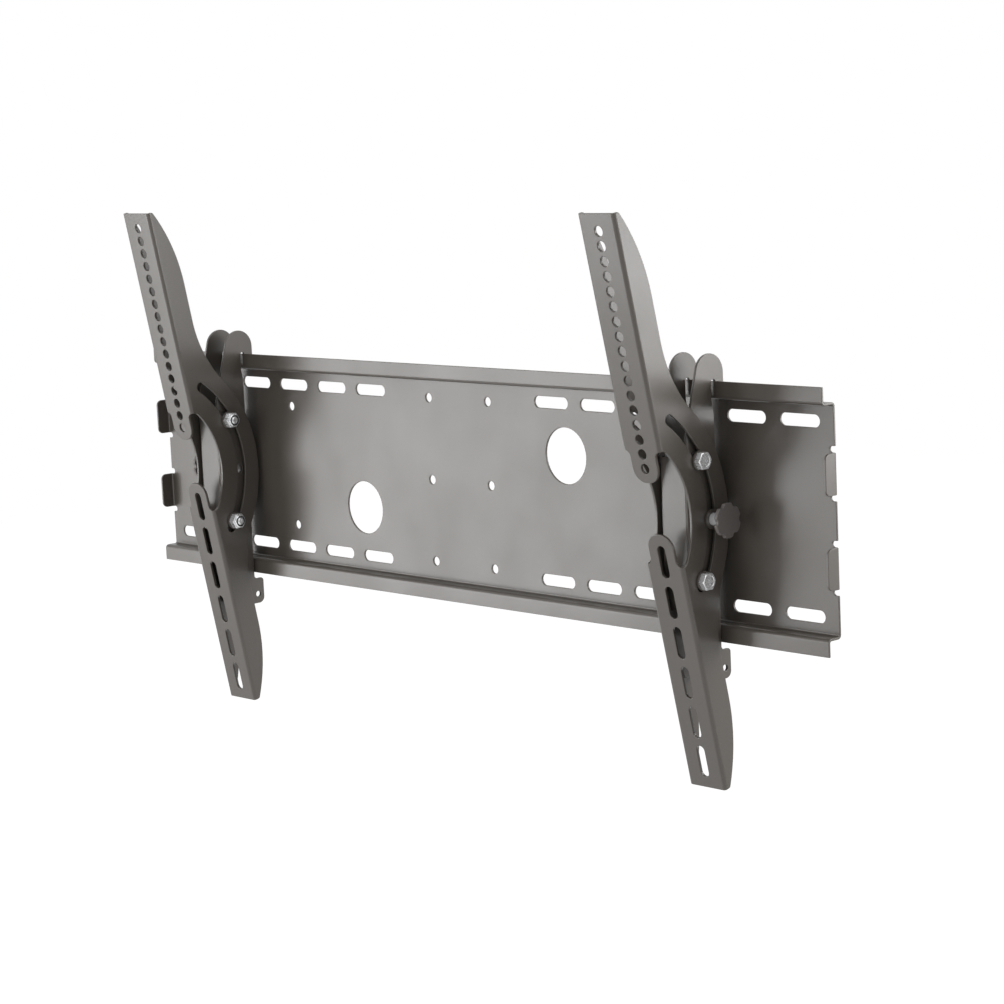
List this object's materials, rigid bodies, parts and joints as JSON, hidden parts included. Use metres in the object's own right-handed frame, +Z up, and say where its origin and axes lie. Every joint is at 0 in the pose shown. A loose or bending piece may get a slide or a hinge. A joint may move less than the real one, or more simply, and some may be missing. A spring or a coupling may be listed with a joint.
{
  "type": "tilting tv wall mount",
  "caption": "Slotted wall plate with two arms that hook over its lips, slide along it and tilt on bolts in arc slots, to hang a flat television on a wall.",
  "frame": {"origin": "middle of the wall plate's back face, on the wall", "axes": "+X right along the wall as seen from the room, +Y into the wall, +Z up"},
  "size_m": [0.855, 0.1227, 0.4675],
  "materials": {
    "coated_steel": "satin powder coat, charcoal",
    "zinc_steel": "bright zinc plate",
    "knob_plastic": "moulded, fine grain",
    "nylon": "black nylon"
  },
  "bodies": {
    "wall": {"wall_plate": "coated_steel"},
    "left_hook": {"left_hook_bracket": "coated_steel", "left_weld_nut": "zinc_steel", "left_upper_bolt": "zinc_steel", "left_upper_nut": "zinc_steel", "left_upper_head_washer": "coated_steel", "left_upper_nut_washer": "coated_steel", "left_upper_outer_spacer": "nylon", "left_upper_inner_spacer": "nylon", "left_upper_sleeve": "zinc_steel", "left_lower_bolt": "zinc_steel", "left_lower_nut": "zinc_steel", "left_lower_head_washer": "coated_steel", "left_lower_nut_washer": "coated_steel", "left_lower_outer_spacer": "nylon", "left_lower_inner_spacer": "nylon", "left_lower_sleeve": "zinc_steel"},
    "left_screen_arm": {"left_tv_bracket": "coated_steel"},
    "left_lock_knob": {"left_knob": "knob_plastic", "left_knob_stud": "zinc_steel", "left_knob_washer": "coated_steel"},
    "right_hook": {"right_hook_bracket": "coated_steel", "right_weld_nut": "zinc_steel", "right_upper_bolt": "zinc_steel", "right_upper_nut": "zinc_steel", "right_upper_head_washer": "coated_steel", "right_upper_nut_washer": "coated_steel", "right_upper_outer_spacer": "nylon", "right_upper_inner_spacer": "nylon", "right_upper_sleeve": "zinc_steel", "right_lower_bolt": "zinc_steel", "right_lower_nut": "zinc_steel", "right_lower_head_washer": "coated_steel", "right_lower_nut_washer": "coated_steel", "right_lower_outer_spacer": "nylon", "right_lower_inner_spacer": "nylon", "right_lower_sleeve": "zinc_steel"},
    "right_screen_arm": {"right_tv_bracket": "coated_steel"},
    "right_lock_knob": {"right_knob": "knob_plastic", "right_knob_stud": "zinc_steel", "right_knob_washer": "coated_steel"}
  },
  "joints": [
    {"name": "left_arm_slide", "type": "slide", "parent": "wall", "child": "left_hook", "axis": [1, 0, 0], "range_m": [-0.105, 0.24]},
    {"name": "left_tilt", "type": "hinge", "parent": "left_hook", "child": "left_screen_arm", "pos_m": [-0.3, -0.127, -0.003], "axis": [1, 0, 0], "range_deg": [-25.9, 4.1]},
    {"name": "left_knob_turn", "type": "hinge", "parent": "left_hook", "child": "left_lock_knob", "pos_m": [-0.3, -0.027, -0.003], "axis": [-1, 0, 0], "range_deg": [0, 360]},
    {"name": "right_arm_slide", "type": "slide", "parent": "wall", "child": "right_hook", "axis": [1, 0, 0], "range_m": [-0.24, 0.105]},
    {"name": "right_tilt", "type": "hinge", "parent": "right_hook", "child": "right_screen_arm", "pos_m": [0.3, -0.127, -0.003], "axis": [1, 0, 0], "range_deg": [-27.3, 2.7]},
    {"name": "right_knob_turn", "type": "hinge", "parent": "right_hook", "child": "right_lock_knob", "pos_m": [0.3, -0.027, -0.003], "axis": [1, 0, 0], "range_deg": [0, 360]}
  ]
}
